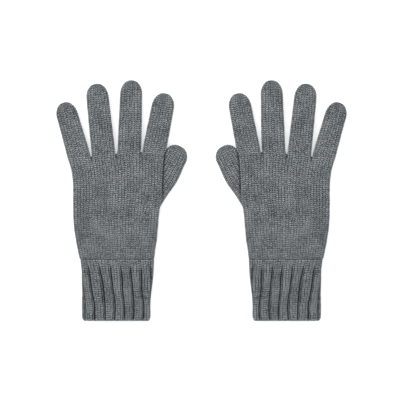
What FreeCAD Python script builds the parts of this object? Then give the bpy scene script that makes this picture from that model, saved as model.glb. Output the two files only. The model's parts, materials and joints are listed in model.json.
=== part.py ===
import FreeCAD, Part
import math
import os

import Sketcher
from FreeCAD import Placement, Rotation, Vector

# A pair of knitted gloves lying flat, backs up, fingers along +Y, as a parametric document in millimetres.
# Row frame: X across the pair with the thumbs towards the middle, Y from the cuffs to the fingertips, Z up.
# The origin is on the table under the middle of the pair. Each glove is knitted as tubes: a hand, four
# fingers and a thumb in plain knit, and a wide-ribbed cuff with a linked seam above it and a welt below.
# "u" is measured across a glove from its own centre line, positive towards the thumb, and "v" along it
# from the cuff's lower edge.

doc = FreeCAD.newDocument("KnittedGloves")

# --------------------------------------------------------------------------- driving dimensions

DIMENSIONS = {
    "glove_offset": (91.8, "centre line of each glove from the middle of the pair"),
    "half_length": (130.7, "half of the glove's length, cuff edge to middle fingertip"),
    "wall": (1.7, "thickness of the knitted fabric"),
    "gap": (0.3, "clearance between neighbouring tubes"),
    # hand
    "hand_height": (14.0, "two layers of fabric with the air between them"),
    "hand_round": (5.5, "rounding along the folded sides of the hand"),
    "hand_start": (90.0, "v where the palm's full width begins"),
    "hand_start_half": (43.6, "half width there"),
    "outer_half": (46.4, "from the centre line to the palm's side below the little finger"),
    "inner_half": (49.0, "from the centre line to the palm's side below the index finger"),
    "palm_mid": (138.0, "v of the palm's widest straight stretch"),
    "side_radius": (380.0, "curve of the hand's sides"),
    # wrist: the short stretch of hand that bends
    "wrist_start": (67.6, "v of the wrist, just above the linked seam"),
    "wrist_left_half": (39.2, "outer half width there"),
    "wrist_thumb_half": (40.6, "thumb-side half width there"),
    "wrist_height": (12.6, "height of the wrist tube"),
    # cuff
    "welt_length": (3.4, "length of the welt that starts the cuff"),
    "cuff_end": (64.8, "v of the cuff's upper end"),
    "cuff_half": (37.3, "half width of the cuff at its lower edge"),
    "cuff_top_half": (39.0, "half width of the cuff at its upper end"),
    "cuff_height": (13.0, "height of the ribbed tube"),
    "cuff_round": (5.6, "rounding along the folded sides of the cuff"),
    "cuff_wall": (2.6, "thickness of the ribbed fabric"),
    "rib_pitch": (10.8, "distance between ribs"),
    "groove_width": (1.8, "width of the furrow between two ribs"),
    "groove_depth": (0.9, "depth of that furrow"),
    "groove_stop": (6.5, "plain stretch left above the furrows"),
    "seam_length": (2.2, "length of the linked seam along the glove"),
    "seam_height": (11.8, "height of the linked seam's ring"),
    "seam_round": (5.0, "rounding along the linked seam's folded sides"),
    # fingers
    "finger_height": (10.5, "height of a finger tube"),
    "finger_round": (4.6, "rounding along a finger's folded sides"),
    "root_length": (10.0, "knitted stretch at a finger's root that bends"),
    "web_depth": (3.0, "joined fabric behind the webs between the fingers"),
    "way_depth": (12.0, "how far the way into a finger runs back into the hand"),
    "tie_radius": (2.0, "ring of the yarn that draws a fingertip shut"),
    "yarn_radius": (0.7, "radius of that yarn"),
    # thumb: a tube under the palm, turning about its round mouth
    "thumb_u": (36.2, "u of the thumb's mouth"),
    "thumb_v": (130.7, "v of the thumb's mouth"),
    "thumb_tilt": (29.6, "thumb's angle from the glove's centre line, degrees"),
    "thumb_reach": (54.6, "from the mouth's centre to the centre of the rounded tip"),
    "thumb_half": (12.6, "half width of the thumb"),
    "thumb_swing": (40.0, "how far the thumb turns outwards, degrees"),
    "thumb_clear": (1.0, "room between the thumb's side and the recess's"),
    "thumb_low": (6.0, "height of the thumb where the palm lies on it"),
    "thumb_high": (10.0, "height of the thumb beside the palm"),
    "thumb_round": (4.2, "rounding along the thumb's sides"),
    "thumb_bulge": (17.0, "distance from the mouth where the thumb is free to be full height"),
    "mouth_radius": (8.5, "radius of the thumb's mouth"),
    "recess_height": (6.3, "room under the palm for the thumb"),
    "edge_u": (49.4, "u of the palm's thumb-side edge beside the thumb"),
    "edge_v": (137.0, "v of that point"),
    "edge_tilt": (5.7, "angle of that edge from the centre line, degrees"),
}

# Each finger: u and v of its root's centre, tilt towards the little finger's side, half width at the
# root and near the tip, and length from root to tip.
FINGERS = {
    "little": (-39.3, 177.2, 15.4, 11.8, 11.3, 62.6),
    "ring": (-13.9, 181.5, 6.0, 12.8, 12.1, 77.2),
    "middle": (13.7, 183.2, -1.7, 13.0, 12.0, 78.2),
    "index": (40.3, 182.0, -11.1, 12.5, 12.1, 65.4),
}
FINGER_SIZES = ("u", "v", "tilt", "root_half", "tip_half", "reach")
for finger, sizes in FINGERS.items():
    for what, size in zip(FINGER_SIZES, sizes):
        DIMENSIONS[f"{finger}_{what}"] = (size, f"{finger} finger: {what.replace('_', ' ')}")

sheet = doc.addObject("Spreadsheet::Sheet", "Dims")
for row, (alias, (size, note)) in enumerate(DIMENSIONS.items(), start=1):
    sheet.set(f"A{row}", alias)
    sheet.set(f"B{row}", str(size))
    sheet.setAlias(f"B{row}", alias)
    sheet.set(f"C{row}", note)
doc.recompute()


class Size:
    """A size as both the expression that a property is bound to and its present number."""

    def __init__(self, text, number):
        self.text = text
        self.number = number

    def joined(self, other, sign, number):
        return Size(f"({self.text} {sign} {as_size(other).text})", number)

    def __add__(self, other):
        return self.joined(other, "+", self.number + as_size(other).number)

    def __sub__(self, other):
        return self.joined(other, "-", self.number - as_size(other).number)

    def __neg__(self):
        return self * -1

    def __mul__(self, other):
        return self.joined(other, "*", self.number * as_size(other).number)

    def __truediv__(self, other):
        return self.joined(other, "/", self.number / as_size(other).number)

    def cos(self):
        return Size(f"cos({self.text})", math.cos(math.radians(self.number)))

    def sin(self):
        return Size(f"sin({self.text})", math.sin(math.radians(self.number)))


def as_size(value):
    return value if isinstance(value, Size) else Size(f"({value})", float(value))


def cell(alias):
    """The size kept in the sheet under that alias."""
    return Size(f"Dims.{alias}", DIMENSIONS[alias][0])


def bind(thing, **sizes):
    """Sets each named property to its size and keeps it bound to the sheet."""
    for name, size in sizes.items():
        size = as_size(size)
        setattr(thing, name, size.number)
        thing.setExpression(name, size.text)


def place(thing, x, y, z=0, turn=0):
    """Places a thing at a point of the row frame, turned about Z by an angle in degrees."""
    x, y, z, turn = (as_size(s) for s in (x, y, z, turn))
    spot = Vector(x.number, y.number, z.number)
    thing.Placement = Placement(spot, Rotation(Vector(0, 0, 1), turn.number))
    thing.setExpression(
        "Placement",
        f"placement(vector({x.text}; {y.text}; {z.text}); rotation(vector(0; 0; 1); {turn.text}))",
    )


# --------------------------------------------------------------------------- features

RIBS = 7  # ribs on each face of the cuff
FLAT = 0.3  # how close a face or an edge must lie to a height to count as there
END_ZONE = 1  # edges no further than this from a tube's end belong to the end
ROOT_ZONE = 15  # the hand's edges no further than this from its fingertip end belong to the fingers' roots
SIDE_SHARE = 0.42  # edges further than this share of the width from the hand's middle are its folded sides
PAST_END = 1  # how far a room or a furrow runs on past an open end
PAST_WRIST = 5  # how far the hand's room runs on past the wrist
TIP_CURVE = 1.004  # radius of a rounded end over its half width
TIP_RISE = TIP_CURVE - math.sqrt(TIP_CURVE**2 - 1)  # how far that end stands out, over its half width


def new_body(name):
    return doc.addObject("PartDesign::Body", name)


def plane_of(body, role):
    return next(f for f in body.Origin.OriginFeatures if f.Role == role)


def outline(body, name, corners):
    """A closed sketch in the body's XY plane. Each corner is (x, y), or (x, y, radius) where an arc of that
    radius leads on to the next corner, bulging to the right of the way round for a positive radius."""
    sketch = body.newObject("Sketcher::SketchObject", name)
    sketch.AttachmentSupport = [(plane_of(body, "XY_Plane"), "")]
    sketch.MapMode = "FlatFace"
    spots = [Vector(as_size(c[0]).number, as_size(c[1]).number, 0) for c in corners]
    starts, ends = [], []
    for here, corner in enumerate(corners):
        a, b = spots[here], spots[(here + 1) % len(spots)]
        if len(corner) == 3:
            radius = as_size(corner[2])
            bulge = math.copysign(1, radius.number)
            reach = abs(radius.number)
            half = (b - a).Length / 2
            aside = Vector(b.y - a.y, a.x - b.x, 0).normalize() * bulge
            centre = (a + b) / 2 - aside * math.sqrt(reach**2 - half**2)
            circle = Part.Circle(centre, Vector(0, 0, 1), reach)
            ends_of_arc = (a, b) if bulge > 0 else (b, a)
            edge = sketch.addGeometry(Part.ArcOfCircle(circle, *angles(centre, *ends_of_arc)), False)
            starts.append((edge, 1 if bulge > 0 else 2))
            ends.append((edge, 2 if bulge > 0 else 1))
            tied = sketch.addConstraint(Sketcher.Constraint("Radius", edge, reach))
            sketch.renameConstraint(tied, f"r{here}")
            sketch.setExpression(f"Constraints.r{here}", f"abs({radius.text})")
        else:
            edge = sketch.addGeometry(Part.LineSegment(a, b), False)
            starts.append((edge, 1))
            ends.append((edge, 2))
    for here, corner in enumerate(corners):
        sketch.addConstraint(Sketcher.Constraint("Coincident", *ends[here - 1], *starts[here]))
        for axis, size in zip("xy", corner[:2]):
            size = as_size(size)
            kind = f"Distance{axis.upper()}"
            tied = sketch.addConstraint(
                Sketcher.Constraint(kind, -1, 1, *starts[here], size.number)
            )
            sketch.renameConstraint(tied, f"{axis}{here}")
            sketch.setExpression(f"Constraints.{axis}{here}", size.text)
    return sketch


def angles(centre, first, last):
    """Two points' angles about a centre, in the order that runs counter-clockwise."""
    begin = math.atan2(first.y - centre.y, first.x - centre.x)
    end = math.atan2(last.y - centre.y, last.x - centre.x)
    return begin, end if end > begin else end + 2 * math.pi


def pad(body, sketch, height, name):
    """The sketch raised to a height."""
    raised = body.newObject("PartDesign::Pad", name)
    raised.Profile = sketch
    bind(raised, Length=height)
    sketch.Visibility = False
    return raised


def round_off(body, base, radius, name, wanted):
    """A fillet on those edges of the base's top and bottom faces that wanted() picks by their midpoint."""
    doc.recompute()
    box = base.Shape.BoundBox
    edges = []
    for number, edge in enumerate(base.Shape.Edges, start=1):
        middle = edge.valueAt((edge.FirstParameter + edge.LastParameter) / 2)
        level = min(abs(middle.z - box.ZMin), abs(middle.z - box.ZMax)) < FLAT
        if level and edge.BoundBox.ZLength < FLAT and wanted(middle, box):
            edges.append(f"Edge{number}")
    fillet = body.newObject("PartDesign::Fillet", name)
    fillet.Base = (base, edges)
    bind(fillet, Radius=radius)
    return fillet


def combine(kind, name, *pieces):
    """A Part boolean of the pieces: Cut takes two, and MultiFuse or MultiCommon any number."""
    made = doc.addObject(f"Part::{kind}", name)
    if kind == "Cut":
        made.Base, made.Tool = pieces
    else:
        made.Shapes = list(pieces)
    return made


def box(name, x, y, z, length, width, height, turn=0):
    """A box whose corner is at that point of the row frame, turned about Z there."""
    made = doc.addObject("Part::Box", name)
    bind(made, Length=length, Width=width, Height=height)
    place(made, x, y, z, turn)
    return made


def side_x(side, u):
    """X of a place u across the glove. side is -1 for the left glove and 1 for the right one."""
    return (cell("glove_offset") - u) * side


def along_y(v):
    return as_size(v) - cell("half_length")


# --------------------------------------------------------------------------- tubes


def off_start(middle, box_of):
    """True for an edge that isn't on the tube's open end at its lowest Y."""
    return middle.y > box_of.YMin + END_ZONE


def between_ends(middle, box_of):
    return box_of.YMin + END_ZONE < middle.y < box_of.YMax - END_ZONE


def tube(name, plan, height, rounding, wall, wanted, settle):
    """A knitted tube: a soft-edged solid less the room inside it. plan(inset, extra) gives the corners of its
    outline set in by a distance and lengthened past its open ends, wanted() picks the edges to round and
    settle(thing, z) places it."""
    halves = []
    for what, inset, extra in (("outside", as_size(0), as_size(0)), ("room", wall, as_size(PAST_END))):
        body = new_body(f"{name}_{what}")
        sketch = outline(body, f"{name}_{what}_plan", plan(inset, extra))
        raised = pad(body, sketch, height - inset * 2, f"{name}_{what}_pad")
        round_off(body, raised, rounding - inset, f"{name}_{what}_round", wanted)
        settle(body, inset)
        halves.append(body)
    return combine("Cut", name, *halves)


def sleeve(name, x, y, ends, length, height, rounding, wall):
    """A knitted sleeve along Y, open at both ends. ends are its two corners' x at its start and at its end."""
    (left, right), (far_left, far_right) = ends

    def plan(inset, extra):
        return [
            (left + inset, extra * -1),
            (right - inset, extra * -1),
            (far_right - inset, length + extra),
            (far_left + inset, length + extra),
        ]

    return tube(name, plan, height, rounding, wall, between_ends, lambda body, z: place(body, x, y, z))


def finger(side, which):
    """A finger's moving tube, from its bending root to its closed tip."""
    root, tip = cell(f"{which}_root_half"), cell(f"{which}_tip_half")
    start = cell("root_length") + cell("gap")
    shoulder = cell(f"{which}_reach") - tip * TIP_RISE

    def plan(inset, extra):
        return [
            (inset - root, start - extra),
            (root - inset, start - extra),
            (tip - inset, shoulder, (tip - inset) * TIP_CURVE),
            (inset - tip, shoulder),
        ]

    return tube(
        f"{side_name(side)}_{which}_finger",
        plan,
        cell("finger_height"),
        cell("finger_round"),
        cell("wall"),
        off_start,
        lambda body, z: place_on_finger(body, side, which, z),
    )


def place_on_finger(thing, side, which, z=0):
    """Places a thing in a finger's frame: origin on the table under the root's centre, Y along the finger."""
    x, y = side_x(side, cell(f"{which}_u")), along_y(cell(f"{which}_v"))
    place(thing, x, y, z, cell(f"{which}_tilt") * (-side))


def finger_root(side, which):
    """The short stretch at the finger's root, which bends with it."""
    half = cell(f"{which}_root_half")
    length = cell("root_length")

    def plan(inset, extra):
        return [
            (inset - half, extra * -1),
            (half - inset, extra * -1),
            (half - inset, length + extra),
            (inset - half, length + extra),
        ]

    return tube(
        f"{side_name(side)}_{which}_root",
        plan,
        cell("finger_height"),
        cell("finger_round"),
        cell("wall"),
        between_ends,
        lambda body, z: place_on_finger(body, side, which, z),
    )


def tip_tie(name, x, y, turn, height):
    """The ring of yarn that draws the last loops of a tube shut, lying inside its tip."""
    ring = doc.addObject("Part::Torus", name)
    bind(ring, Radius1=cell("tie_radius"), Radius2=cell("yarn_radius"))
    spot = Vector(x.number, y.number, height.number)
    axis_down = Rotation(Vector(1, 0, 0), 90)
    ring.Placement = Placement(spot, Rotation(Vector(0, 0, 1), turn.number) * axis_down)
    ring.setExpression(
        "Placement",
        f"placement(vector({x.text}; {y.text}; {height.text});"
        f" rotation(vector(0; 0; 1); {turn.text}) * rotation(vector(1; 0; 0); 90))",
    )
    return ring


def finger_tie(side, which):
    tilt = cell(f"{which}_tilt") * (-side)
    along = cell(f"{which}_reach") - cell("wall") - cell("tie_radius") * 2
    x = side_x(side, cell(f"{which}_u")) - tilt.sin() * along
    y = along_y(cell(f"{which}_v")) + tilt.cos() * along
    name = f"{side_name(side)}_{which}_tip_tie"
    return tip_tie(name, x, y, tilt, cell("finger_height") / 2)


# --------------------------------------------------------------------------- hand


def root_corner(side, which, across, along):
    """A point of the hand's plan beside a finger's root, across and along being in the finger's frame."""
    tilt = cell(f"{which}_tilt")
    u = cell(f"{which}_u") + tilt.cos() * across - tilt.sin() * along
    v = cell(f"{which}_v") + tilt.sin() * across + tilt.cos() * along
    return side_x(side, u), along_y(v)


def hand_plan(side, inset, lengthen):
    """Corners of the hand's plan, set in by the fabric's thickness and lengthened past the wrist end."""
    start = along_y(cell("hand_start")) - lengthen
    narrow = cell("hand_start_half") - inset
    outer, inner = cell("outer_half") - inset, cell("inner_half") - inset
    palm = along_y(cell("palm_mid"))
    curve = cell("side_radius")
    back = (inset + cell("gap")) * -1
    corners = [
        (side_x(side, narrow * -1), start),
        (side_x(side, narrow), start, curve),
        (side_x(side, inner), palm, curve * -1),
    ]
    for which in reversed(FINGERS):
        corners += [web_corner(side, which, at, inset, back) for at in (1, -1)]
    corners[-1] = (*corners[-1], curve * -1)
    corners.append((side_x(side, outer * -1), palm, curve))
    if side > 0:
        corners = mirrored(corners)
    return corners


def web_corner(side, which, at, inset, back):
    """A corner of the hand's plan at one edge of a finger's root."""
    outer = (which, at) in (("index", 1), ("little", -1))
    half = cell(f"{which}_root_half") - (inset if outer else 0)
    return root_corner(side, which, half * at, back)


def mirrored(corners):
    """The same way round, counter-clockwise, for a plan whose x was mirrored. Arcs keep their own edges."""
    arcs = [c[2] if len(c) == 3 else None for c in corners]
    spots = [c[:2] for c in corners]
    spots, arcs = spots[::-1], arcs[::-1]
    arcs = arcs[1:] + arcs[:1]
    return [(*s, a) if a is not None else s for s, a in zip(spots, arcs)]


def hand_solid(side, name, inset, lengthen, height, rounding):
    body = new_body(name)
    sketch = outline(body, f"{name}_plan", hand_plan(side, inset, lengthen))
    raised = pad(body, sketch, height, f"{name}_pad")
    round_off(body, raised, rounding, f"{name}_round", on_sides)
    return body


def on_sides(middle, box_of):
    """True for the long edges at the folded sides of the hand, away from the wrist and the fingers' roots."""
    far = abs(middle.x - (box_of.XMin + box_of.XMax) / 2) > SIDE_SHARE * box_of.XLength
    return far and box_of.YMin + END_ZONE < middle.y < box_of.YMax - ROOT_ZONE


def thumb_plan(grow):
    """Corners of a thumb's plan in its own frame, with the mouth's centre at the origin and Y along it."""
    half = cell("thumb_half") + grow
    far = cell("thumb_reach")
    curve = half * TIP_CURVE
    return [(half, 0), (half, far, curve), (half * -1, far), (half * -1, 0, curve)]


def thumb_solid(side, name, grow, height, rounding=None, z=0, swung=0):
    """A solid of the thumb's plan, grown by a distance, placed at a height and swung outwards by an angle."""
    body = new_body(name)
    raised = pad(body, outline(body, f"{name}_plan", thumb_plan(grow)), height, f"{name}_pad")
    if rounding is not None:
        round_off(body, raised, rounding, f"{name}_round", lambda middle, box_of: True)
    place_thumb(body, side, z, swung)
    return body


def thumb_sweep(side, name, grow, height):
    """The room that the thumb's plan takes from rest to fully swung outwards."""
    ends = [
        thumb_solid(side, f"{name}_{what}", grow, height, swung=swung)
        for what, swung in (("rest", as_size(0)), ("swung", cell("thumb_swing")))
    ]
    return combine("MultiFuse", name, *ends)


def place_thumb(thing, side, z=0, swung=0):
    x, y = side_x(side, cell("thumb_u")), along_y(cell("thumb_v"))
    place(thing, x, y, z, thumb_turn(side) + as_size(swung) * side)


def thumb_turn(side):
    return cell("thumb_tilt") * side


def mouth(side, name, radius):
    """The round way between the hand and the thumb."""
    hole = doc.addObject("Part::Cylinder", name)
    bind(hole, Radius=radius, Height=cell("wall") * 3)
    place_thumb(hole, side, cell("recess_height") - cell("wall") * 1.5)
    return hole


def hand(side):
    """The hand's tube: palm and back in one, open at the wrist, at each finger's root and over the thumb."""
    name = f"{side_name(side)}_hand"
    wall, height = cell("wall"), cell("hand_height")
    outside = hand_solid(side, f"{name}_outside", as_size(0), as_size(0), height, cell("hand_round"))
    room = hand_solid(
        side, f"{name}_room", wall, as_size(PAST_WRIST), height - wall * 2, cell("hand_round") - wall
    )
    place(room, 0, 0, wall)
    webs = finger_ways(side, name)
    clear = cell("thumb_clear")
    recess = thumb_sweep(side, f"{name}_recess", clear, cell("recess_height"))
    ceiling = thumb_sweep(side, f"{name}_ceiling", clear + wall, cell("recess_height") + wall)
    kept = combine("MultiCommon", f"{name}_kept", room, web_side(side, name))
    inside = combine("Cut", f"{name}_inside", kept, ceiling)
    hole = mouth(side, f"{name}_mouth", cell("mouth_radius"))
    away = combine("MultiFuse", f"{name}_away", inside, *webs, recess, hole)
    return combine("Cut", name, outside, away)


def web_side(side, name):
    """Everything on the wrist's side of the webs between the fingers."""
    far = along_y(cell("little_v")) - cell("web_depth")
    reach = cell("hand_start") * 2
    x = side_x(side, 0) - reach / 2
    return box(f"{name}_web_side", x, far - reach, 0, reach, reach, cell("hand_height"))


def finger_ways(side, name):
    """The ways from the hand into the four fingers."""
    ways = []
    for which in FINGERS:
        half = cell(f"{which}_root_half") - cell("wall")
        depth, sill = cell("way_depth"), cell("wall") * 2
        tilt = cell(f"{which}_tilt") * (-side)
        way = box(
            f"{name}_{which}_way",
            side_x(side, cell(f"{which}_u")) - tilt.cos() * half + tilt.sin() * depth,
            along_y(cell(f"{which}_v")) - tilt.sin() * half - tilt.cos() * depth,
            sill,
            half * 2,
            depth + PAST_END,
            cell("finger_height") - sill - cell("wall"),
            tilt,
        )
        ways.append(way)
    return ways


# --------------------------------------------------------------------------- thumb


def thumb(side):
    """The thumb's tube: low where the palm and the index finger lie on it, full height beside them, closed at
    both ends and open upwards at its round mouth."""
    name = f"{side_name(side)}_thumb"
    outside = thumb_form(side, f"{name}_outside", as_size(0))
    room = thumb_form(side, f"{name}_room", cell("wall"))
    hole = mouth(side, f"{name}_mouth", cell("mouth_radius"))
    return combine("Cut", name, outside, combine("MultiFuse", f"{name}_away", room, hole))


def thumb_form(side, name, inset):
    """The thumb's solid form, set in on every side by a distance."""
    high = cell("thumb_high")
    beside, past = cell("thumb_clear") + inset, cell("thumb_bulge") + inset
    rounding = cell("thumb_round") - inset
    full = thumb_solid(side, f"{name}_full", -inset, high - inset * 2, rounding, inset)
    beyond = beside_palm(side, f"{name}_beside", beside), past_mouth(side, f"{name}_past", past)
    free = combine("MultiCommon", f"{name}_free", *beyond)
    over = combine("Cut", f"{name}_over", over_low(side, f"{name}_above", cell("thumb_low") - inset), free)
    under = under_index(side, f"{name}_index", cell("gap") + inset)
    return combine("Cut", name, full, combine("MultiFuse", f"{name}_off", over, under))


def over_low(side, name, z):
    """Everything above the height that the thumb may have under the palm."""
    reach = cell("thumb_reach") * 3
    x, y = side_x(side, cell("thumb_u")) - reach / 2, along_y(cell("thumb_v")) - reach / 2
    return box(name, x, y, z, reach, reach, cell("hand_height"))


def under_index(side, name, clear):
    """The strip that the index finger needs beyond the palm, that distance clear of it."""
    half = cell("index_root_half") + clear
    back = cell("gap") + clear
    tilt = cell("index_tilt") * (-side)
    x = side_x(side, cell("index_u")) - tilt.cos() * half + tilt.sin() * back
    y = along_y(cell("index_v")) - tilt.sin() * half - tilt.cos() * back
    return box(name, x, y, 0, half * 2, cell("thumb_half") * 2, cell("hand_height"), tilt)


def beside_palm(side, name, clear):
    """Everything beyond the palm's thumb-side edge, that distance clear of it."""
    reach = cell("thumb_reach") * 3
    turn = cell("edge_tilt") * side
    x = side_x(side, cell("edge_u") + clear) + turn.sin() * reach / 2
    y = along_y(cell("edge_v")) - turn.cos() * reach / 2
    if side > 0:
        x = x - turn.cos() * reach
        y = y - turn.sin() * reach
    return box(name, x, y, 0, reach, reach, cell("hand_height"), turn)


def past_mouth(side, name, along):
    """Everything further along the thumb than that distance from its mouth."""
    reach = cell("thumb_reach") * 2
    turn = thumb_turn(side)
    x = side_x(side, cell("thumb_u")) - turn.sin() * along - turn.cos() * (reach / 2)
    y = along_y(cell("thumb_v")) + turn.cos() * along - turn.sin() * (reach / 2)
    return box(name, x, y, 0, reach, reach, cell("hand_height"), turn)


def thumb_tie(side):
    turn = thumb_turn(side)
    along = cell("thumb_reach") + cell("thumb_half") - cell("wall") - cell("tie_radius") * 2
    x = side_x(side, cell("thumb_u")) - turn.sin() * along
    y = along_y(cell("thumb_v")) + turn.cos() * along
    return tip_tie(f"{side_name(side)}_thumb_tip_tie", x, y, turn, cell("thumb_high") / 2)


# --------------------------------------------------------------------------- wrist and cuff


def wrist(side):
    """The narrowing stretch between the linked seam and the palm, where the glove bends at the wrist."""
    start = cell("wrist_start")
    length = cell("hand_start") - start - cell("gap")
    outer, inner = cell("wrist_left_half"), cell("wrist_thumb_half")
    near = (inner * -1, outer) if side > 0 else (outer * -1, inner)
    far = (cell("hand_start_half") * -1, cell("hand_start_half"))
    return sleeve(
        f"{side_name(side)}_wrist",
        side_x(side, 0),
        along_y(start),
        (near, far),
        length,
        cell("wrist_height"),
        cell("cuff_round"),
        cell("wall"),
    )


def cuff_seam(side):
    """The ring of stitches that links the cuff to the hand."""
    outer, inner = cell("wrist_left_half"), cell("wrist_thumb_half")
    near = (inner * -1, outer) if side > 0 else (outer * -1, inner)
    start = cell("cuff_end") + cell("gap")
    return sleeve(
        f"{side_name(side)}_cuff_seam",
        side_x(side, 0),
        along_y(start),
        (near, near),
        cell("seam_length"),
        cell("seam_height"),
        cell("seam_round"),
        cell("wall"),
    )


def cuff_welt(side):
    """The doubled welt that the cuff starts from, at its lower edge."""
    ends = (cell("cuff_half") * -1, cell("cuff_half"))
    return sleeve(
        f"{side_name(side)}_cuff_welt",
        side_x(side, 0),
        along_y(0),
        (ends, ends),
        cell("welt_length"),
        cell("cuff_height"),
        cell("cuff_round"),
        cell("cuff_wall"),
    )


def cuff(side):
    """The cuff's tube, with seven broad ribs on each face."""
    name = f"{side_name(side)}_cuff"
    start = cell("welt_length") + cell("gap")
    length = cell("cuff_end") - start
    low, top = cell("cuff_half"), cell("cuff_top_half")
    shell = sleeve(
        f"{name}_plain",
        side_x(side, 0),
        along_y(start),
        ((low * -1, low), (top * -1, top)),
        length,
        cell("cuff_height"),
        cell("cuff_round"),
        cell("cuff_wall"),
    )
    furrows = []
    for level, z in (("back", cell("cuff_height") - cell("groove_depth")), ("palm", as_size(0))):
        for count in range(RIBS - 1):
            middle = cell("rib_pitch") * (count - (RIBS - 2) / 2)
            furrows.append(
                box(
                    f"{name}_furrow_{level}_{count + 1}",
                    side_x(side, middle) - cell("groove_width") / 2,
                    along_y(start) - PAST_END,
                    z,
                    cell("groove_width"),
                    length - cell("groove_stop"),
                    cell("groove_depth"),
                )
            )
    return combine("Cut", name, shell, combine("MultiFuse", f"{name}_furrows", *furrows))

# --------------------------------------------------------------------------- the pair


def side_name(side):
    return "left" if side < 0 else "right"


sub_parts = []
for side in (-1, 1):
    sub_parts += [hand(side), wrist(side), cuff(side), cuff_seam(side), cuff_welt(side)]
    for which in FINGERS:
        sub_parts += [finger_root(side, which), finger(side, which), finger_tie(side, which)]
    sub_parts += [thumb(side), thumb_tie(side)]
doc.recompute()

# --------------------------------------------------------------------------- checks and export

for thing in doc.Objects:
    if "Invalid" in thing.State or "Error" in thing.State:
        raise RuntimeError(f"{thing.Label} did not build: {thing.State}")

os.makedirs("parts", exist_ok=True)
for part in sub_parts:
    shape = part.Shape
    if shape.isNull() or not shape.isValid() or not shape.Solids:
        raise RuntimeError(f"{part.Label} is not a valid solid")
    print(part.Label, len(shape.Solids), "solid", round(shape.Volume), "mm3")
    shape.exportStep(f"parts/{part.Label}.step")
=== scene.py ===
import json
import math

import bpy
import numpy as np
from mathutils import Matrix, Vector


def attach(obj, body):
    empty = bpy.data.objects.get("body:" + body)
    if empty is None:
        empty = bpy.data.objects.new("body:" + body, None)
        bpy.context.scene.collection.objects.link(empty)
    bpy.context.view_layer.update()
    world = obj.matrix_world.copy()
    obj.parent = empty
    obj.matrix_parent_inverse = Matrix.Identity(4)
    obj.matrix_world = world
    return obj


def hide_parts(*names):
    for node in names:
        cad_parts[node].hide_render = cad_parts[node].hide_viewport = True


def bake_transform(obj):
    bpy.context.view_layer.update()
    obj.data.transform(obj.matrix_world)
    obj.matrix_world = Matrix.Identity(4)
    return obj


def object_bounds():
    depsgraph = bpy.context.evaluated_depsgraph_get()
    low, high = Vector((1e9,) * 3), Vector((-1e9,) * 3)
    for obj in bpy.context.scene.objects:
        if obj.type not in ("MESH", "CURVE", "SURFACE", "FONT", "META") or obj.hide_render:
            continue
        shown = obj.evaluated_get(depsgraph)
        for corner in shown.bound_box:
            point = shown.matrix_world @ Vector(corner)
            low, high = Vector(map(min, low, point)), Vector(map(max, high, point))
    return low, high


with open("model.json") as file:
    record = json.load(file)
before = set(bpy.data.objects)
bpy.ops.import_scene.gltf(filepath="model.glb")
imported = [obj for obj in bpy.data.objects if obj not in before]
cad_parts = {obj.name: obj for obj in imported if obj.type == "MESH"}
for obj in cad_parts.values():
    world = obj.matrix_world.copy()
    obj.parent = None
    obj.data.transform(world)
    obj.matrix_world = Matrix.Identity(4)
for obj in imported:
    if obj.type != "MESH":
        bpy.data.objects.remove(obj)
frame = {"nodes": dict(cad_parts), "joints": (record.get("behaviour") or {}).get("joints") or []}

cad_low, cad_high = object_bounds()

# A pair of grey heather gloves in chunky plain knit with wide-ribbed cuffs, lying flat with their backs up.
# Shapes are worked out in millimetres on one glove, "u" across it from its centre line towards the thumb,
# "v" along it from the cuff's edge and "z" up from the table, and then set into the row frame for each side.

MM = 0.001
SIDES = {"left": -1, "right": 1}
JOINTS = {j["name"]: j for j in frame["joints"]}
GLOVE_OFFSET = abs(JOINTS["left_wrist_fold"]["pos_m"][0]) / MM
HALF_LENGTH = cad_high.y / MM

# --------------------------------------------------------------------------- knit gauge

COURSE = 2.3  # height of one stitch
PER_WALE = 8  # mesh columns to a stitch
PER_COURSE = 6  # mesh rows to a stitch
RELIEF = 1.0  # how far the yarn stands out of the gaps between stitches
SLANT = 0.6  # how far a stitch's legs climb from its middle to its sides, in courses
CLEAR = 0.25  # height of the lowest yarn over the table
# the first wale number of each piece, set apart so that no two pieces have the same fibres
FIBRES = {"palm": 200, "finger": 40, "thumb": 240, "cuff": 400, "lining": 500, "edge": 600, "seam": 700}

# --------------------------------------------------------------------------- glove outline

SEAM_V = 67.3  # where the cuff is linked to the hand
OUTER_EDGE = ((66, -38.6), (76, -41.0), (89, -43.5), (106, -45.8), (125, -46.4), (148, -46.6), (162, -48.0),
              (171, -50.2), (177, -52.2), (188, -55.4))
THUMB_EDGE = ((66, 39.9), (78, 41.2), (89, 43.1), (99, 44.0), (112, 45.0), (122, 46.1), (132, 47.7),
              (143, 48.3), (160, 49.1), (172, 49.8), (181, 50.9), (192, 52.8))
WEBS = ((-27.8, 178.8), (-0.8, 181.8), (26.8, 183.8))  # u, v of the webs between the fingers
OUTER_ROOT_V = 177.0  # v of the little finger's outer corner
INDEX_ROOT_V = 182.4  # v of the index finger's outer corner

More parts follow.
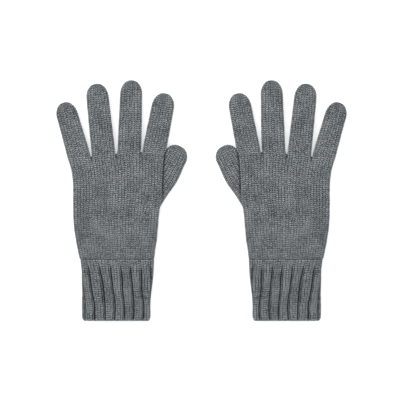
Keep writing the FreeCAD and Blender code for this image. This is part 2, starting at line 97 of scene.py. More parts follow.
HAND_THICK = 7.6
PALM_WIDTH, ROOT_WIDTH = 92, 95  # the hand's width at its middle and along the webs
HAND_FOLD = 6.0  # how far in from its side the hand is rounded
HAND_SOFT, SOFT_FROM = 0.35, 12  # how uneven the hand's back lies, and how far in from its sides that begins
OVER_THUMB = 0.28  # how much thinner the hand is for each millimetre that the thumb raises it
PINCH, PINCH_REACH = 0.08, 1.8  # the share by which the seam draws the hand in, and how far along
HELD_UP, HELD_REACH = 0.8, 9  # how much the thicker cuff holds the hand up, and how far along
LINKED, LINKED_REACH = 0.55, 2.5  # how far the first stitches by the seam stand out, and how long that lasts; being lower, they are also painted darker, a painted shade along the seam
CREASE_START = 0.9  # share of the hand's length from which the fingers' fabric parts
HAND_WALES = 31  # stitches across each face of the hand
FINGER_THICK = 7.6
FINGER_FOLD = 5.6
WEB_FOLD = 3.4  # half width of the crease that runs down from a web
NOTCH, NOTCH_HALF = 0.6, 0.8  # how deep and how wide the pulled stitches under a web are; being lower, they are also painted darker, a painted shade under each web
NOTCH_START, NOTCH_EASE = 0.94, 0.025  # shares of the hand's length
FINGER_WALES = 18  # stitches round a finger
WEB_GAP = 1.2  # from the middle of a web to where a finger's own tube begins
TUCK = COURSE / 2  # how far a finger's tube reaches back into the hand
TUCK_NARROW, TUCK_THIN = 0.03, 0.16  # the shares by which it is smaller there
FINGER_SAG = 0.25  # how uneven a finger's back lies
OPEN_BY, LEVEL_BY = 7, 9  # how far along a finger has its own width, and its own height
DOWN_FROM, DOWN_OVER = 2, 18  # where a finger that lies on the thumb comes down to the table
THUMB_LOW, THUMB_HIGH = 3.6, 7.4  # the thumb's thickness under the palm and beside it
FINGERS = {
    # half width at the root and near the tip, how much longer than its pivot line, how far its tip lies aside,
    # how far up from the hand it begins to bend: the index finger further, because its base lies on the thumb
    "little": (11.6, 10.7, 0.5, -1.3, 1.5),
    "ring": (12.1, 11.3, -0.3, -0.3, 1.5),
    "middle": (12.1, 11.2, 0.4, 0.2, 1.5),
    "index": (12.0, 11.4, 1.4, -0.2, 5.0),
}
TIP_LENGTH = 1.3  # how much longer a rounded tip is than half its width
THUMB_HALF = 12.2
THUMB_REACH = 55.0
THUMB_FOLD, THUMB_EDGE_FOLD = 5.0, 4.6  # how far in its side is rounded: for its wales, and for its height
THUMB_BULGE, BULGE_AT, BULGE_REACH = 2.1, 33, 15  # the ball of the thumb on its free side
BASE_ROWS, BASE_COURSES = 40, 8.5  # the rounded end under the palm
LIFT_OUT, LIFT_RAMP = 5.5, 7.5  # how far from the thumb's side the palm comes down, and over what distance
LIFT_ROOM = 0.3  # between the thumb and the palm that lies on it
WRIST_SLOPE = 0.5  # how much more gently it comes down towards the wrist

CUFF_HALF = ((0, 36.1), (14, 36.2), (32, 36.4), (50, 37.7), (60, 38.5), (68, 39.3))
CUFF_THICK = 9.4
WELT_V = 2.8  # v where the cuff's fabric turns in at its rounded edge
CUFF_FOLD = 6.5
CUFF_CORNER = 6.2
CUFF_LINING = 2.3  # how far the ribbed fabric's inner face lies inside its outer one
CUFF_SECTION = 37.3, CUFF_FOLD, CUFF_THICK
RIBS = 15  # ribs round the cuff
PER_RIB = 28  # mesh columns to a rib
RIB_WALES = 3  # plain stitches to a rib
RIB_PLAIN = 0.8  # their share of its width, the rest being purl
RIB_CROWN, FURROW_DEPTH, PURL_DEPTH = 0.55, 1.8, 0.25  # how far a rib stands out, and how deep lie its sides
FURROW_HALF = 0.58
RIB_FADE, RIB_END = 12, 3  # distance over which the ribs fade out, and how far below the seam they are gone
RIB_SWAY, SWAY_TURNS = 0.03, 6  # how far a rib sways, in ribs, and how often that repeats round the cuff
CROWD, CROWD_AT, CROWD_REACH = 2.2, 13, 9  # how far the ribs are pushed outwards at the outer side
CUFF_THIN, THIN_REACH = 0.14, 9  # the share by which the cuff thins to the seam, and over what distance
CUFF_DRIFT = 0.9  # how far the cuff's upper end lies towards the thumb
CUFF_END = 1.5  # how far past the seam the cuff's fabric goes on, tucked in under the hand
END_TUCK, TUCK_BELOW, TUCK_OVER = 1.7, 1.2, 1.4  # how deep it is tucked in, from how far below, over what length
LINING_COLUMNS = 4  # mesh columns to a stitch of the lining
LINING_ROWS, LINING_END = 84, 2  # mesh rows, and how far below the seam it ends
LINING_RELIEF = 0.5
EDGE_ROWS = 15
RIB_LEAN = ((0, 1.6), (8, 1.9), (17, 1.9), (35, -0.5), (54, -2.9), (66, -4.6))
FIRST_GROOVE = 15.2  # first furrow's distance round the cuff from its outer side
SEAM_HALF = 39.2
SEAM_REACH, SEAM_STRAND = 0.42, 0.16  # half width of the seam's chain, and what a strand adds
SEAM_COLUMNS, SEAM_ROWS = 8, 9  # mesh columns to a strand, and mesh rows over the chain
SEAM_LIES = 0.15  # how far up from SEAM_V the chain lies


def smooth(x):
    """0 up to x = 0, 1 from x = 1, and an even ease between."""
    x = np.clip(x, 0, 1)
    return x * x * (3 - 2 * x)


def curve(knots, x):
    """A smooth curve through the knots."""
    xs, ys = (np.array(k, float) for k in zip(*knots))
    slopes = np.gradient(ys, xs)
    i = np.clip(np.searchsorted(xs, x) - 1, 0, len(xs) - 2)
    step = xs[i + 1] - xs[i]
    t = np.clip((x - xs[i]) / step, 0, 1)
    a, b = ys[i], ys[i + 1]
    ease = t * t * (3 - 2 * t)
    return a + (b - a) * ease + step * (t * (1 - t) ** 2 * slopes[i] - t * t * (1 - t) * slopes[i + 1])


def fold(distance, radius):
    """The rounding of a folded edge: 0 on the fold and 1 from that radius inwards."""
    inward = 1 - np.clip(distance / radius, 0, 1)
    return np.sqrt(np.maximum(0, 1 - inward**2))


# each one's strength, its turn for each millimetre of u and of v, and where it starts
WAVES = ((1.0, 0.071, 0.043, 0.6), (0.8, -0.052, 0.097, 2.1), (0.4, 0.19, 0.023, 4.0), (0.4, 0.11, 0.21, 1.2))


def wave(u, v):
    """The slow unevenness of fabric lying relaxed, about -1 to 1."""
    total = sum(strength * np.sin(u * over_u + v * over_v + start) for strength, over_u, over_v, start in WAVES)
    return total / 2.2


# --------------------------------------------------------------------------- stitches


def dip(distance, width):
    """1 at no distance, easing down to 0 at about twice the width."""
    return np.exp(-((distance / width) ** 2))


def plain_stitch(wale, course):
    """Height from 0 to 1 of plain knit: each stitch is a V whose two legs climb from its middle to its sides.
    The stitches wander a little, as hand-made ones do."""
    wale, course = (
        wale + 0.07 * np.sin(course * 0.93 + wale * 1.7) + 0.05 * np.sin(course * 0.31 - wale * 0.9),
        course + 0.13 * np.sin(wale * 2.3 + course * 0.37) + 0.1 * np.sin(wale * 0.8 - course * 0.61),
    )
    across = np.abs(wale % 1 - 0.5) * 2
    along = (course - SLANT * across) % 1
    legs = (1 - 0.45 * dip(across, 0.2)) * (1 - 0.8 * dip(1 - across, 0.24))
    return legs * (1 - 0.8 * dip(np.minimum(along, 1 - along), 0.2))


def purl_stitch(wale, course):
    """Height from 0 to 1 of the fabric's other face: rows of small bars."""
    across = np.abs(wale % 1 - 0.5) * 2
    along = (course * 2 + 0.5 * across) % 1
    return (1 - np.abs(along * 2 - 1) ** 2) * (0.45 + 0.55 * (1 - across**2)) * 0.8


# --------------------------------------------------------------------------- meshes


def outward(points, closed):
    """Unit normals of a grid of points whose columns run round and rows run along a tube."""
    if closed:
        across = np.roll(points, -1, 1) - np.roll(points, 1, 1)
    else:
        across = np.gradient(points, axis=1)
    along = np.gradient(points, axis=0)
    normal = np.cross(across, along)
    length = np.linalg.norm(normal, axis=2, keepdims=True)
    return normal / np.maximum(length, 1e-9)


def grid_object(name, side, points, wale, course, relief_shade, material, closed, inside_out=False):
    """A smooth mesh over a grid of points in a glove's millimetres, with the stitch numbers as its UV map."""
    rows, cols = points.shape[:2]
    u, v, z = points[..., 0], points[..., 1], points[..., 2]
    placed = np.stack([(GLOVE_OFFSET - u) * side, v - HALF_LENGTH, z], -1) * MM
    r, c = np.meshgrid(np.arange(rows - 1), np.arange(cols if closed else cols - 1), indexing="ij")
    r, c = r.ravel(), c.ravel()
    right = (c + 1) % cols
    quads = np.stack([r * cols + c, r * cols + right, (r + 1) * cols + right, (r + 1) * cols + c], -1)
    step = np.stack([c, c + 1, c + 1, c], -1)
    level = np.stack([r, r, r + 1, r + 1], -1)
    if (side > 0) != inside_out:
        quads, step, level = quads[:, ::-1], step[:, ::-1], level[:, ::-1]
    mesh = bpy.data.meshes.new(name)
    mesh.vertices.add(rows * cols)
    mesh.vertices.foreach_set("co", placed.astype(np.float32).ravel())
    mesh.loops.add(quads.size)
    mesh.loops.foreach_set("vertex_index", quads.astype(np.int32).ravel())
    mesh.polygons.add(len(quads))
    mesh.polygons.foreach_set("loop_start", np.arange(0, quads.size, 4, dtype=np.int32))
    mesh.update(calc_edges=True)
    mesh.shade_smooth()
    wide = np.concatenate([wale, wale[:, :1] + (wale[:, 1:2] - wale[:, :1]) * cols], 1) if closed else wale
    tall = np.concatenate([course, course[:, :1]], 1) if closed else course
    uv = np.stack([wide[level, step], tall[level, step]], -1)
    mesh.uv_layers.new(name="Knit").data.foreach_set("uv", uv.astype(np.float32).ravel())
    # the value that the material turns into painted shade between the yarns and painted light on their tops
    mesh.attributes.new("relief_shade", "FLOAT", "POINT").data.foreach_set("value", relief_shade.astype(np.float32).ravel())
    mesh.materials.append(material)
    thing = bpy.data.objects.new(name, mesh)
    bpy.context.scene.collection.objects.link(thing)
    return thing


def knitted(name, side, points, wale, course, height, closed=False, under=False):
    """A piece of plain knit over a grid of points, its yarn standing out of them; the same height sets its
    painted shade between the yarns.
    """
    normal = outward(points, closed) * (-1 if under else 1)
    points = points + normal * (height * RELIEF)[..., None]
    return grid_object(name, side, points, wale, course, height, PLAIN, closed, under)


# --------------------------------------------------------------------------- materials


def nodes_of(name):
    """A new material with its node tree and its shader."""
    material = bpy.data.materials.new(name)
    material.use_nodes = True
    tree = material.node_tree
    shader = tree.nodes["Principled BSDF"]
    return material, tree, shader


def add(tree, kind, inputs=(), **settings):
    """A node with its settings and its inputs, each a value or another node's output."""
    node = tree.nodes.new(kind)
    for key, value in settings.items():
        setattr(node, key, value)
    for key, value in dict(inputs).items():
        if isinstance(value, bpy.types.NodeSocket):
            tree.links.new(value, node.inputs[key])
        else:
            node.inputs[key].default_value = value
    return node


def add_up(tree, *values):
    """The sum of two values."""
    return add(tree, "ShaderNodeMath", dict(enumerate(values)), operation="ADD").outputs[0]


def remap(tree, value, low, high, to_low, to_high):
    """A value's range stretched onto another."""
    spec = {0: value, 1: low, 2: high, 3: to_low, 4: to_high}
    return add(tree, "ShaderNodeMapRange", spec).outputs[0]


DARK_FIBRE, LIGHT_FIBRE = (0.052, 0.058, 0.062, 1), (0.36, 0.385, 0.4, 1)
GAP_SHADE, TOP_SHADE = 0.04, 1.62  # painted shade between the yarns and painted light on top of them


def wool(name, tone):
    """Heather wool: pale and dark fibres spun together, uneven from stitch to stitch, with painted shade between
    the yarns and painted light on their tops.
    tone makes the whole darker or paler."""
    material, tree, shader = nodes_of(name)
    uv = add(tree, "ShaderNodeUVMap", uv_map="Knit").outputs[0]
    relief_shade = add(tree, "ShaderNodeAttribute", attribute_name="relief_shade").outputs["Fac"]
    stretched = add(tree, "ShaderNodeMapping", {"Vector": uv, "Scale": (1.0, 0.72, 1.0)}).outputs[0]

    def noise(scale, detail, rough):
        spec = {"Vector": stretched, "Scale": scale, "Detail": detail, "Roughness": rough}
        return add(tree, "ShaderNodeTexNoise", spec, noise_dimensions="2D").outputs[0]

    cell = add(tree, "ShaderNodeVectorMath", {0: uv}, operation="FLOOR").outputs[0]
    stitch = add(tree, "ShaderNodeTexWhiteNoise", {"Vector": cell}, noise_dimensions="2D").outputs[0]
    fibre = noise(3.4, 2.0, 0.7)
    patch = noise(1.3, 2.0, 0.6)
    blotch = noise(0.16, 2.0, 0.5)
    mixed = add_up(tree, remap(tree, fibre, 0.3, 0.7, -0.6, 0.6), 0.46)
    unevenness = ((patch, 0.3, 0.7, 0.16), (blotch, 0.3, 0.7, 0.12), (stitch, 0.0, 1.0, 0.12))
    for value, low, high, strength in unevenness:
        mixed = add_up(tree, mixed, remap(tree, value, low, high, -strength, strength))
    spec = {"Factor": mixed, 6: DARK_FIBRE, 7: LIGHT_FIBRE}
    yarn = add(tree, "ShaderNodeMix", spec, data_type="RGBA", clamp_factor=True).outputs[2]
    # painted shade in the gaps between the yarns and painted light on their tops, scaled by tone
    shade = remap(tree, relief_shade, 0.1, 0.95, GAP_SHADE * tone, TOP_SHADE * tone)
    colour = add(tree, "ShaderNodeVectorMath", {0: yarn, "Scale": shade}, operation="SCALE").outputs[0]
    fine = noise(16.0, 3.0, 0.8)
    bump = add(tree, "ShaderNodeBump", {"Strength": 0.55, "Distance": 0.0004, "Height": fine}).outputs[0]
    tree.links.new(colour, shader.inputs["Base Color"])
    tree.links.new(bump, shader.inputs["Normal"])
    shader.inputs["Roughness"].default_value = 0.95
    shader.inputs["Specular IOR Level"].default_value = 0.15
    shader.inputs["Sheen Weight"].default_value = 0.12
    shader.inputs["Sheen Roughness"].default_value = 0.5
    shader.inputs["Sheen Tint"].default_value = (0.8, 0.86, 0.9, 1)
    return material


def plain_knit():
    """The wool of the hands, fingers and thumbs."""
    return wool("wool_plain_knit", 0.965)


def rib_knit():
    """The wool of the cuffs, paler to make up for the painted shade in their furrows."""
    return wool("wool_rib_knit", 1.12)


def seam_painted_shade():
    """The yarn that links a cuff to its hand, darkened as painted shade of the dip between them."""
    return wool("wool_seam_painted_shade", 0.52)


def tie_yarn():
    """The yarn inside a fingertip, mottled and without stitches."""
    material, tree, shader = nodes_of("wool_tie_yarn")
    noise = add(tree, "ShaderNodeTexNoise", {"Scale": 900.0, "Detail": 3.0}).outputs[0]
    spec = {"Factor": noise, 6: (0.05, 0.055, 0.06, 1), 7: (0.25, 0.27, 0.28, 1)}
    colour = add(tree, "ShaderNodeMix", spec, data_type="RGBA").outputs[2]
    tree.links.new(colour, shader.inputs["Base Color"])
    shader.inputs["Roughness"].default_value = 0.95
    return material


def pale_floor():
    """White paper, a little bright of itself so that shadows on it stay faint."""
    material, _, shader = nodes_of("pale_floor")
    shader.inputs["Base Color"].default_value = (0.86, 0.86, 0.86, 1)
    shader.inputs["Roughness"].default_value = 1.0
    shader.inputs["Specular IOR Level"].default_value = 0.0
    shader.inputs["Emission Color"].default_value = (1, 1, 1, 1)
    shader.inputs["Emission Strength"].default_value = 0.46
    return material


PLAIN, RIB, SEAM = plain_knit(), rib_knit(), seam_painted_shade()

# --------------------------------------------------------------------------- where the thumb lies

THUMB_PIVOT = (
    GLOVE_OFFSET + JOINTS["left_thumb_swing"]["pos_m"][0] / MM,
    HALF_LENGTH + JOINTS["left_thumb_swing"]["pos_m"][1] / MM,
)
THUMB_TILT = math.radians(29.6)
THUMB_WAY = np.array([math.sin(THUMB_TILT), math.cos(THUMB_TILT)])
THUMB_ACROSS = np.array([THUMB_WAY[1], -THUMB_WAY[0]])


def thumb_frame(u, v):
    """A place's distance along the thumb from its pivot, and across it."""
    du, dv = u - THUMB_PIVOT[0], v - THUMB_PIVOT[1]
    return du * THUMB_WAY[0] + dv * THUMB_WAY[1], du * THUMB_ACROSS[0] + dv * THUMB_ACROSS[1]


def lift(u, v):
    """How far the fabric that lies on the thumb is raised there."""
    along, across = thumb_frame(u, v)
    before, past = np.maximum(-along, 0) * WRIST_SLOPE, np.maximum(along - THUMB_REACH, 0)
    outside = np.hypot(before + past, across) - THUMB_HALF
    return (THUMB_LOW + RELIEF * 2 + LIFT_ROOM) * smooth((LIFT_OUT - outside) / LIFT_RAMP)


# --------------------------------------------------------------------------- hand


def edge_v(f):
    """v of the hand's upper end, where the fingers begin, at a share of its width."""
    return curve(ROOT_LINE, f)


def share_of(u, v):
    """A place's share of the hand's width, from the little finger's side."""
    low, high = curve(OUTER_EDGE, v), curve(THUMB_EDGE, v)
    return float((u - low) / (high - low))


WEB_SHARES = [share_of(u, np.array(v)) for u, v in WEBS]
ROOT_LINE = ((0.0, OUTER_ROOT_V), *zip(WEB_SHARES, (v for _, v in WEBS)), (1.0, INDEX_ROOT_V))
FINGER_ENDS = dict(zip(FINGERS, zip((0.0, *WEB_SHARES), (*WEB_SHARES, 1.0))))


def hand_surface(f, r, face):
    """A point of the hand at a share f of its width and r of its length, on its back (face 1) or palm (-1)."""
    f, r = np.broadcast_arrays(f, r)
    v = SEAM_V + (edge_v(f) - SEAM_V) * r
    low, high = curve(OUTER_EDGE, v), curve(THUMB_EDGE, v)
    width = high - low
    u = low + width * f
    oval = fold(np.minimum(f, 1 - f) * width, HAND_FOLD)
    to_web = np.min([np.abs(f - s) for s in (0, *WEB_SHARES, 1)], axis=0) * width
    parted = fold(to_web, WEB_FOLD)
    crease = smooth((r - CREASE_START) / (1 - CREASE_START)) ** 2
    shape = oval * (1 - crease) + parted * crease
    pinch = 1 - PINCH * dip(v - SEAM_V, PINCH_REACH)
    held_up = HELD_UP * dip(v - SEAM_V, HELD_REACH)
    raised = lift(u, v)
    thick = (HAND_THICK - raised * OVER_THUMB) * pinch
    soft = wave(u, v) * HAND_SOFT * smooth(to_web / SOFT_FROM) * (face > 0)
    middle = CLEAR + RELIEF + held_up + raised + HAND_THICK / 2 - raised * OVER_THUMB / 2
    z = middle + face * thick / 2 * shape + soft
    return np.stack([u, v, z], -1)


def even_shares(count):
    """Shares of the hand's width that are evenly spaced round its section."""
    fine = (1 - np.cos(np.linspace(0, math.pi, 4000))) / 2
    section = hand_surface(fine, 0.4, -1)
    rise = fold(np.minimum(fine, 1 - fine) * PALM_WIDTH, HAND_FOLD) * HAND_THICK / 2
    flat = np.stack([section[:, 0], rise], -1)
    run = np.concatenate([[0], np.cumsum(np.linalg.norm(np.diff(flat, axis=0), axis=1))])
    return np.interp(np.linspace(0, run[-1], count), run, fine)


def make_hand(name, side):
    """The hand's two faces, which share their side and web edges, down to the seam."""
    courses = round((edge_v(0.5) - SEAM_V) / COURSE)
    cols = HAND_WALES * PER_WALE + 1
    rows = int(courses * PER_COURSE) + 1
    f, r = np.meshgrid(even_shares(cols), np.linspace(0, 1, rows))
    wale, course = np.meshgrid(np.linspace(0, HAND_WALES, cols), np.linspace(0, courses, rows))
    for part, face in (("back", 1), ("palm", -1)):
        points = hand_surface(f, r, face)
        shift = 0 if face > 0 else FIBRES["palm"]
        # near the seam and under the webs the stitches are lower, and so also painted darker, as painted shade
        # there
        linked = LINKED + (1 - LINKED) * smooth((points[..., 1] - SEAM_V) / LINKED_REACH)
        beside_web = np.min([np.abs(f - s) for s in WEB_SHARES], axis=0) * ROOT_WIDTH
        notch = 1 - NOTCH * dip(beside_web, NOTCH_HALF) * smooth((r - NOTCH_START) / NOTCH_EASE)
        height = plain_stitch(wale, course) * linked * notch
        made = knitted(f"{name}_hand_{part}", side, points, wale + shift, course, height, under=face < 0)
        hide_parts(f"{name}_hand", f"{name}_wrist")
        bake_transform(made)


# --------------------------------------------------------------------------- fingers


def finger_line(which):
    """Where a finger's pivot is, in u and v, which way it points and how far its tip is from there."""
    joint = JOINTS[f"left_{which}_fold"]
    x, y, _ = joint["pos_m"]
    pivot = np.array([GLOVE_OFFSET + x / MM, HALF_LENGTH + y / MM])
    axis = np.array(joint["axis"][:2])
    way = np.array([-axis[1], axis[0]])
    way = way if way[1] > 0 else -way
    corners = [v.co for v in frame["nodes"][f"left_{which}_finger"].data.vertices]
    reach = max((c.x / MM + GLOVE_OFFSET - pivot[0]) * way[0] + (c.y / MM + HALF_LENGTH - pivot[1]) * way[1]
                for c in corners)
    return pivot, way, reach


def section_table(half, radius, thick):
    """Shares across a flattened tube, from -1 to 1, and how far each lies round it from its -1 side."""
    shares = -np.cos(np.linspace(0, math.pi, 3000))
    height = fold((1 - np.abs(shares)) * half, radius) * thick / 2
    return shares, np.concatenate([[0], np.cumsum(np.hypot(np.diff(shares * half), np.diff(height)))])


def places_round(table, spots):
    """The share across and the face, 1 for the back and -1 for the palm, of spots so far round a tube."""
    shares, run = table
    spots = spots % (2 * run[-1])
    back = spots <= run[-1]
    return np.interp(np.where(back, spots, 2 * run[-1] - spots), run, shares), np.where(back, 1.0, -1.0)


def loop_shares(half, radius, thick, count):
    """Points evenly spaced round a flattened tube's section."""
    table = section_table(half, radius, thick)
    return places_round(table, np.arange(count) * 2 * table[1][-1] / count)


def tube_rows(start, shoulder, cap):
    """Distances along a tube whose tip is rounded from its shoulder on, evenly spaced over the rounding, with
    each one's share of the full width and height and its count of courses."""
    step = COURSE / PER_COURSE
    straight = np.arange(start, shoulder, step)
    turn = np.linspace(0, math.pi / 2, int(cap * 1.35 / step))
    along = np.concatenate([straight, shoulder + cap * np.sin(turn)])
    width = np.concatenate([np.ones(len(straight)), np.cos(turn) ** 0.94])
    plump = np.concatenate([np.ones(len(straight)), np.cos(turn) ** 0.6])
    return along, width, plump, np.arange(len(along)) / PER_COURSE + start / COURSE


def flatter_at_tip(narrow):
    """The share of their stitch height that the drawn-in stitches at a tip keep; lower stitches are also painted
    darker.
    """
    return (1 - 0.5 * smooth(1 - narrow * 2.2))[:, None]


def make_finger(name, side, which):
    """A finger's tube. Its first row lies on the hand's last one, from web to web, and it soon grows round."""
    pivot, way, reach = finger_line(which)
    across = np.array([way[1], -way[0]])
    root, tip, longer, drift, stiff = FINGERS[which]
    first, last = FINGER_ENDS[which]
    share, face = loop_shares(root, FINGER_FOLD, FINGER_THICK, FINGER_WALES * PER_WALE)
    clear = np.array([first > 0, last < 1]) * WEB_GAP / ROOT_WIDTH
    spots = first + clear[0] + (last - first - clear.sum()) * (share + 1) / 2
    base = np.where(face[:, None] > 0, hand_surface(spots, 1.0, 1), hand_surface(spots, 1.0, -1))
    begin = (base[:, :2].mean(0) - pivot) @ way
    centre = pivot + way * begin
    base_along, base_across = (base[:, :2] - centre) @ way, (base[:, :2] - centre) @ across
    length = reach - begin - RELIEF + longer
    along, narrow, plump, course = tube_rows(-TUCK, length - tip * TIP_LENGTH, tip * TIP_LENGTH)
    t, x = np.meshgrid(along, share, indexing="ij")
    half = (root + (tip - root) * smooth(t / length)) * narrow[:, None]
    opened = 1 - (1 - np.clip(t / OPEN_BY, 0, 1)) ** 2
    ahead = t + base_along * (1 - np.clip(t / length, 0, 1))
    aside = base_across + (x * half + drift * (0.6 + 0.4 * smooth(t / length)) - base_across) * opened
    tucked = 1 - TUCK_NARROW * smooth(-t / TUCK)
    flat = centre + way * ahead[..., None] + across * (aside * tucked)[..., None]
    level = CLEAR + RELIEF + FINGER_THICK / 2
    rise = fold((1 - np.abs(x)) * half, np.minimum(FINGER_FOLD, half)) * FINGER_THICK / 2 * plump[:, None]
    sag = FINGER_SAG * wave(flat[..., 0] * 1.3, flat[..., 1]) * (face > 0)
    lifted = lift(flat[..., 0], flat[..., 1]) * (1 - smooth((t - DOWN_FROM) / DOWN_OVER))
    regular = level + face * rise + sag * smooth((1 - np.abs(x)) * 2.5) + lifted
    z = base[:, 2] + (regular - base[:, 2]) * smooth(t / LEVEL_BY)
    z = level + lifted + (z - level - lifted) * (1 - TUCK_THIN * smooth(-t / TUCK))
    points = np.concatenate([flat, z[..., None]], -1)
    around = np.arange(len(share)) / PER_WALE
    wale, count = np.meshgrid(around + FIBRES["finger"] * (list(FINGERS).index(which) + 1), course)
    height = plain_stitch(wale, count) * flatter_at_tip(narrow)
    made = knitted(f"{name}_{which}_finger_knit", side, points, wale, count, height, closed=True)
    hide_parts(f"{name}_{which}_finger", f"{name}_{which}_root")
    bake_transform(made)


# --------------------------------------------------------------------------- thumb


def make_thumb(name, side):
    """The thumb's tube, thin where the palm lies on it and round beside the palm, its tip leaning upright."""
    share, face = loop_shares(THUMB_HALF, THUMB_FOLD, THUMB_HIGH, FINGER_WALES * PER_WALE)
    along, narrow, plump, course = tube_rows(0, THUMB_REACH, THUMB_HALF)
    turn = np.linspace(math.pi / 2, 0, BASE_ROWS)[:-1]
    along = np.concatenate([-THUMB_HALF * np.sin(turn), along])
    narrow = np.concatenate([np.cos(turn), narrow])
    plump = np.concatenate([np.cos(turn) ** 0.5, plump])
    course = np.concatenate([np.linspace(-BASE_COURSES, 0, len(turn), endpoint=False), course])
    t, x = np.meshgrid(along, share, indexing="ij")
    half = THUMB_HALF * narrow[:, None]
    bulge = THUMB_BULGE * dip(t - BULGE_AT, BULGE_REACH) * smooth(x)
    side_step = x * half + bulge
    flat = np.array(THUMB_PIVOT) + THUMB_WAY * t[..., None] + THUMB_ACROSS * side_step[..., None]
    edge = curve(THUMB_EDGE, flat[..., 1])
    free = smooth((flat[..., 0] - edge + 0.4) / 4.2) * smooth((t - 8) / 16)
    thick = THUMB_LOW + (THUMB_HIGH - THUMB_LOW) * free
    rise = fold((1 - np.abs(x)) * half, np.minimum(THUMB_EDGE_FOLD, np.maximum(half, 0.01))) * plump[:, None]
    z = CLEAR + RELIEF + thick / 2 + face * rise * thick / 2
    points = np.concatenate([flat, z[..., None]], -1)
    around = np.arange(len(share)) / PER_WALE
    wale, count = np.meshgrid(around + FIBRES["thumb"], course)
    height = plain_stitch(wale, count) * flatter_at_tip(narrow)
    made = knitted(f"{name}_thumb_knit", side, points, wale, count, height, closed=True)
    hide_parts(f"{name}_thumb")
    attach(made, f"{name}_thumb_tube")


# --------------------------------------------------------------------------- cuff


def cuff_section(v, share, face, inset):
    """A point of the cuff's tube at a share across it, from -1 to 1, set in by a distance."""
    corner = CUFF_CORNER - np.sqrt(np.maximum(0, CUFF_CORNER**2 - np.maximum(0, CUFF_CORNER - v) ** 2))
    half = curve(CUFF_HALF, np.maximum(v, 0)) - corner
    rise = fold((1 - np.abs(share)) * half, CUFF_FOLD)
    thin = 1 - CUFF_THIN * smooth((v - SEAM_V + THIN_REACH) / THIN_REACH)
    level = CLEAR + RELIEF + 0.4 + CUFF_THICK / 2
    z = level + face * (CUFF_THICK / 2 * thin - inset) * rise
    drift = CUFF_DRIFT * smooth((v - 12) / 45)
    return np.stack([share * (half - inset) + drift, v + 0 * share, z], -1)


def make_cuff(name, side):
    """The ribbed tube, turned in at the welt and lining itself. Ribs lean gently and fade out at the seam."""
    table = section_table(*CUFF_SECTION)
    around = 2 * table[1][-1]
    pitch = around / RIBS
    v = np.arange(WELT_V, SEAM_V + CUFF_END, COURSE / PER_COURSE)
    t, rib = np.meshgrid(v, np.arange(RIBS * PER_RIB) / PER_RIB, indexing="ij")
    sway = RIB_SWAY * np.sin(t * 0.13 + rib * math.tau * SWAY_TURNS / RIBS)
    spots = (rib + sway) * pitch + FIRST_GROOVE + curve(RIB_LEAN, t)
    from_side = (spots - CROWD_AT + around / 2) % around - around / 2
    x, face = places_round(table, spots - CROWD * dip(from_side, CROWD_REACH))
    place = rib % 1
    off = np.minimum(place, 1 - place) * pitch
    fade = smooth((SEAM_V - RIB_END - t) / RIB_FADE)
    furrow = dip(off, FURROW_HALF) * fade
    purl = smooth((place - 0.78) / 0.05) * smooth((0.99 - place) / 0.05) * fade
    crown = RIB_CROWN * np.sqrt(np.maximum(0, np.sin(math.pi * np.clip(place / RIB_PLAIN, 0, 1)))) * fade
    wale = np.floor(rib) * (RIB_WALES + 1) + place / RIB_PLAIN * RIB_WALES
    count = t / COURSE
    knit = plain_stitch(wale, count) * (1 - purl) + purl_stitch(wale, count) * purl
    base = cuff_section(t, x, face, END_TUCK * smooth((t - SEAM_V + TUCK_BELOW) / TUCK_OVER))
    normal = outward(base, True)
    swell = crown - FURROW_DEPTH * furrow - PURL_DEPTH * purl
    points = base + normal * (swell + knit * RELIEF * (1 - 0.6 * furrow))[..., None]
    # painted shade: darker in the furrows and between the yarns
    relief_shade = knit**1.35 * (1 - furrow) ** 1.4
    made = grid_object(f"{name}_cuff_knit", side, points, wale + FIBRES["cuff"], count, relief_shade, RIB, True)
    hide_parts(f"{name}_cuff")
    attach(made, f"{name}_glove_cuff")
    make_lining(name, side)
    make_welt(name, side, x[0], face[0], swell[0])


def make_lining(name, side):
    """The inner face of the ribbed fabric, seen in the cuff's mouth."""
    share, face = loop_shares(*CUFF_SECTION, RIBS * RIB_WALES * LINING_COLUMNS)
    v = np.linspace(WELT_V, SEAM_V - LINING_END, LINING_ROWS)
    t, x = np.meshgrid(v, share, indexing="ij")
    points = cuff_section(t, x, face, CUFF_LINING)
    wale, count = np.meshgrid(np.arange(len(share)) / LINING_COLUMNS + FIBRES["lining"], v / COURSE)
    height = purl_stitch(wale, count)
    normal = outward(points, True)
    points = points - normal * (height * LINING_RELIEF)[..., None]
    # the bars' height also sets their painted shade
    made = grid_object(f"{name}_cuff_lining", side, points, wale, count, height * 0.8, RIB, True, True)
    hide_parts(f"{name}_cuff")
    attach(made, f"{name}_glove_cuff")


def make_welt(name, side, share, face, swell):
    """The cast-on edge: a plump rounded edge with a slanted strand to each stitch."""
    cols = len(swell)
    turn = np.linspace(0, math.pi, EDGE_ROWS)
    outer = cuff_section(np.full(cols, WELT_V), share, face, 0)
    normal = outward(np.stack([outer, outer + [0, 1, 0]]), True)[0]
    rim = CUFF_LINING / 2 + 0.35
    place = np.arange(cols) / cols * RIBS * RIB_WALES
    a, p = np.meshgrid(turn, place, indexing="ij")
    strand = 1 - np.abs(((p + a * 0.35) % 1) * 2 - 1) ** 2.2
    reach = rim + 0.55 * (strand - 0.4)
    middle = outer + normal * (swell * 0.5 + RELIEF * 0.5)[:, None] - normal * rim
    down = np.array([0, -1, 0])
    points = middle + normal * (np.cos(a) * reach)[..., None] + down * (np.sin(a) * reach)[..., None]
    # painted shade between the edge's strands
    relief_shade = 0.2 + strand * 0.6
    made = grid_object(f"{name}_cuff_edge", side, points[::-1], p + FIBRES["edge"], a, relief_shade, RIB, True)
    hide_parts(f"{name}_cuff_welt")
    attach(made, f"{name}_glove_cuff")


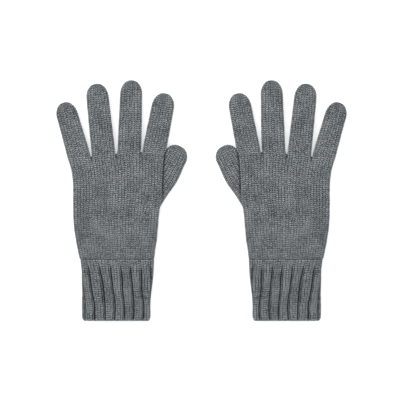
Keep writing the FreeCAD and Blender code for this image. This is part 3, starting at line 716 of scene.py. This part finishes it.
def make_seam(name, side):
    """The linked seam: a chain of yarn lying in the dip between cuff and hand, painted dark as the shade of that
    dip.
    """
    cols = HAND_WALES * 2 * SEAM_COLUMNS
    share, face = loop_shares(SEAM_HALF, CUFF_FOLD, CUFF_THICK, cols)
    sunk = 0.45 + 0.6 * smooth(0.45 + 0.9 * np.sin(share * 4.1 + 1.2))
    ring = cuff_section(np.full(cols, SEAM_V + SEAM_LIES), share, face, sunk)
    ring[:, 1] += 0.16 * np.sin(ring[:, 0] * 0.31) + 0.12 * np.sin(ring[:, 0] * 0.13 + 1)
    normal = outward(np.stack([ring, ring + [0, 1, 0]]), True)[0]
    turn = np.linspace(0, math.pi, SEAM_ROWS)
    a, p = np.meshgrid(turn, np.arange(cols) / SEAM_COLUMNS, indexing="ij")
    strand = 1 - np.abs(((p + a * 0.25) % 1) * 2 - 1) ** 2
    reach = SEAM_REACH + SEAM_STRAND * strand
    up = np.array([0, 1, 0])
    points = ring + normal * (np.sin(a) * reach)[..., None] + up * (-np.cos(a) * reach)[..., None]
    # painted shade: the chain is dark as the dip's shade, darkest between its strands
    relief_shade = 0.1 + strand * 0.45
    made = grid_object(f"{name}_seam_chain", side, points, p + FIBRES["seam"], a, relief_shade, SEAM, True)
    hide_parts(f"{name}_cuff_seam")
    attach(made, f"{name}_glove_cuff")


# --------------------------------------------------------------------------- the pair

for name, side in SIDES.items():
    make_hand(name, side)
    for which in FINGERS:
        make_finger(name, side, which)
    make_thumb(name, side)
    make_cuff(name, side)
    make_seam(name, side)

tie_wool = tie_yarn()
for tie in (n for n in frame["nodes"] if n.endswith("_tip_tie")):
    mesh = frame["nodes"][tie].data
    mesh.materials.clear()
    mesh.materials.append(tie_wool)
    mesh.shade_smooth()

# --------------------------------------------------------------------------- stage, light and camera

bpy.ops.mesh.primitive_plane_add(size=12, location=(0, 0, 0))
floor = bpy.context.object
floor.name = "floor"
floor.data.materials.append(pale_floor())

world = bpy.data.worlds.new("studio")
world.use_nodes = True
world.node_tree.nodes["Background"].inputs["Color"].default_value = (0.97, 0.985, 1.0, 1)
world.node_tree.nodes["Background"].inputs["Strength"].default_value = 0.92
bpy.context.scene.world = world


def softbox(name, spot, size, watts):
    """A square area light that points at the middle of the pair."""
    lamp = bpy.data.lights.new(name, "AREA")
    lamp.size = size
    lamp.energy = watts
    thing = bpy.data.objects.new(name, lamp)
    thing.location = spot
    thing.rotation_mode = "QUATERNION"
    thing.rotation_quaternion = (-Vector(spot)).to_track_quat("-Z", "Y")
    bpy.context.scene.collection.objects.link(thing)


softbox("key", (-1.1, 1.0, 1.5), 1.0, 13)
softbox("fill", (1.0, -0.8, 2.0), 1.6, 3)

CAMERA_HEIGHT = 2.0
VIEW_WIDTH = 0.4342  # what the view takes in across the backs of the hands
lens = bpy.data.cameras.new("camera")
lens.sensor_width = 36
lens.lens = lens.sensor_width * CAMERA_HEIGHT / VIEW_WIDTH
lens.clip_end = 50
camera = bpy.data.objects.new("camera", lens)
camera.location = (-0.0005, 0, CAMERA_HEIGHT + 0.008)
bpy.context.scene.collection.objects.link(camera)
bpy.context.scene.camera = camera
bpy.context.scene.view_settings.view_transform = "Standard"
